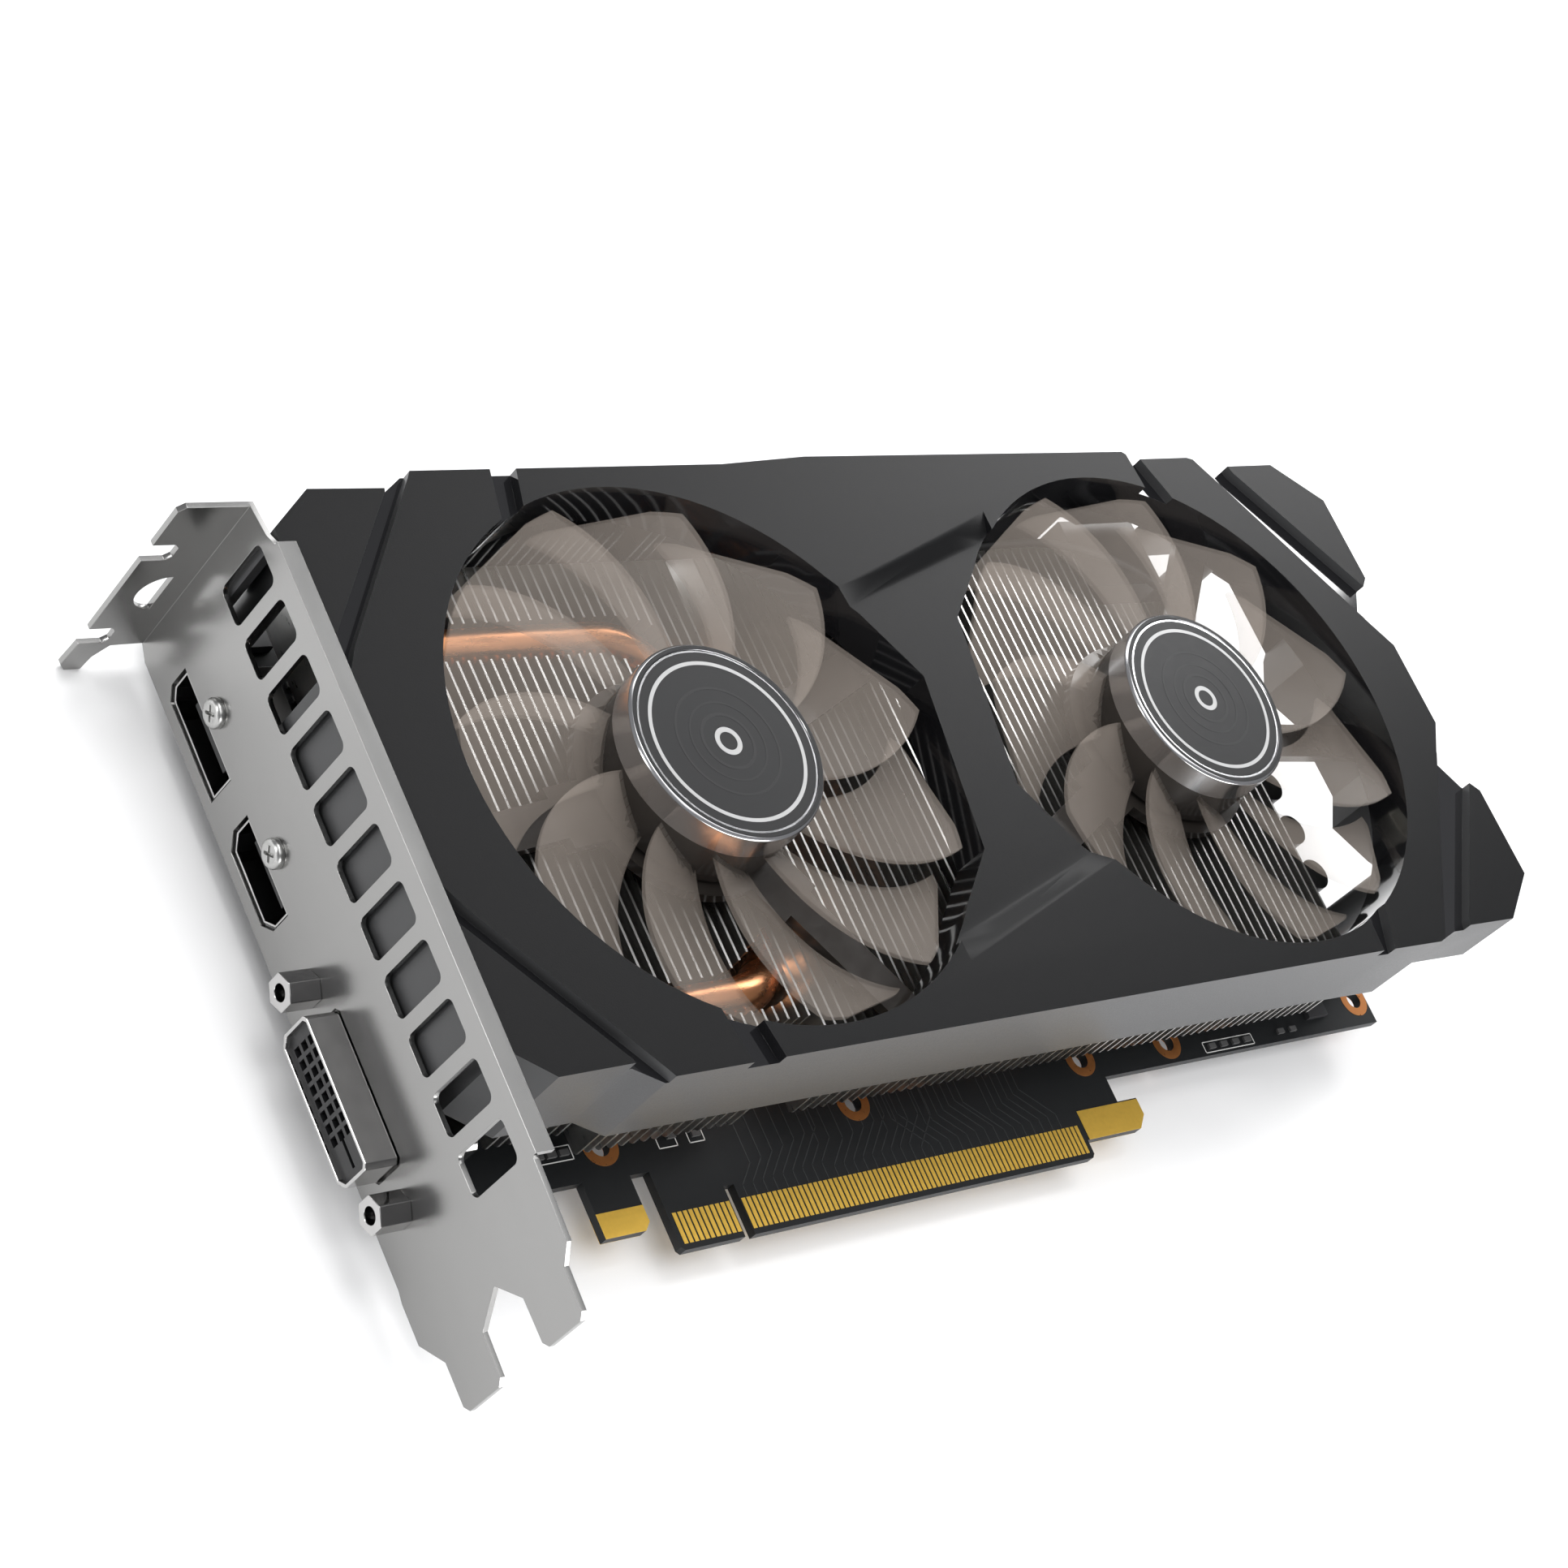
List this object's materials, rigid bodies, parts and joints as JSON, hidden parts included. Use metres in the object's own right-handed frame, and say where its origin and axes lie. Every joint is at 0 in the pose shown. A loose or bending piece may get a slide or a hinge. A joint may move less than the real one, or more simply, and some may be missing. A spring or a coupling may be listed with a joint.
{
  "type": "graphics card",
  "caption": "Dual-slot computer graphics card with an open-fin cooler, twin fans in a faceted shroud, and a vented metal bracket.",
  "frame": {"origin": "centre of the edge connector's key notch, on the connector's lower edge, at the chip side of the board", "axes": "+Z out of the fans, +X along the card away from the metal bracket, -Y the way the edge connector plugs in"},
  "size_m": [0.2345, 0.1255, 0.0424],
  "materials": {
    "board": "satin black solder mask",
    "gold": "polished gold plating",
    "copper": "bright copper",
    "bracket": "satin nickel",
    "bright_metal": "polished",
    "screw_steel": "satin",
    "black_screw": "black",
    "shroud": "satin black with gloss channels",
    "aluminium": "bright cut edges",
    "black_plastic": "satin",
    "smoky_plastic": "smoky gloss",
    "chip": "moulded",
    "silicon": "mirror silicon",
    "pad": "soft",
    "ferrite": "grey",
    "can": "satin",
    "header": "ivory",
    "lead": "satin",
    "magnet": "matte",
    "hub_label": "satin dark grey",
    "winding": "enamelled copper",
    "sintered": "sintered bronze"
  },
  "bodies": {
    "card": {"circuit_board": "board", "edge_contacts": "gold", "gold_ends": "gold", "hole_rings": "copper", "io_bracket": "bracket", "bracket_screws": "screw_steel", "video_port_upper_shell": "bright_metal", "video_port_upper_insert": "black_plastic", "video_port_middle_shell": "bright_metal", "video_port_middle_insert": "black_plastic", "video_port_wide_shell": "bright_metal", "video_port_wide_insert": "black_plastic", "video_port_wide_posts": "bright_metal", "shroud": "shroud", "shroud_screws": "black_screw", "heatsink_fins": "aluminium", "heatsink_base": "copper", "heatsink_screws": "screw_steel", "heatsink_springs": "screw_steel", "heat_pipe_upper": "copper", "heat_pipe_lower": "copper", "gpu_substrate": "chip", "gpu_die": "silicon", "memory_chips": "chip", "thermal_pads": "pad", "chokes": "ferrite", "capacitors": "can", "mosfets": "chip", "board_parts": "ferrite", "bios_chip": "chip", "power_socket": "black_plastic", "power_pins": "bright_metal", "fan_header": "header", "fan_plug": "header", "fan_screws": "black_screw", "fan_lead_left": "lead", "fan_lead_right": "lead", "fan_frame_left": "smoky_plastic", "fan_board_left": "board", "stator_core_left": "screw_steel", "stator_coils_left": "winding", "bearing_left": "sintered", "fan_frame_right": "smoky_plastic", "fan_board_right": "board", "stator_core_right": "screw_steel", "stator_coils_right": "winding", "bearing_right": "sintered"},
    "fan_rotor_left": {"shaft_left": "screw_steel", "impeller_left": "smoky_plastic", "hub_band_left": "bright_metal", "hub_label_left": "hub_label", "magnet_ring_left": "magnet"},
    "fan_rotor_right": {"shaft_right": "screw_steel", "impeller_right": "smoky_plastic", "hub_band_right": "bright_metal", "hub_label_right": "hub_label", "magnet_ring_right": "magnet"}
  },
  "joints": [
    {"name": "fan_left_spin", "type": "hinge", "parent": "card", "child": "fan_rotor_left", "pos_m": [0.0024, 0.0606, 0.029], "axis": [0, 0, 1], "continuous": true},
    {"name": "fan_right_spin", "type": "hinge", "parent": "card", "child": "fan_rotor_right", "pos_m": [0.1058, 0.0606, 0.029], "axis": [0, 0, 1], "continuous": true}
  ]
}
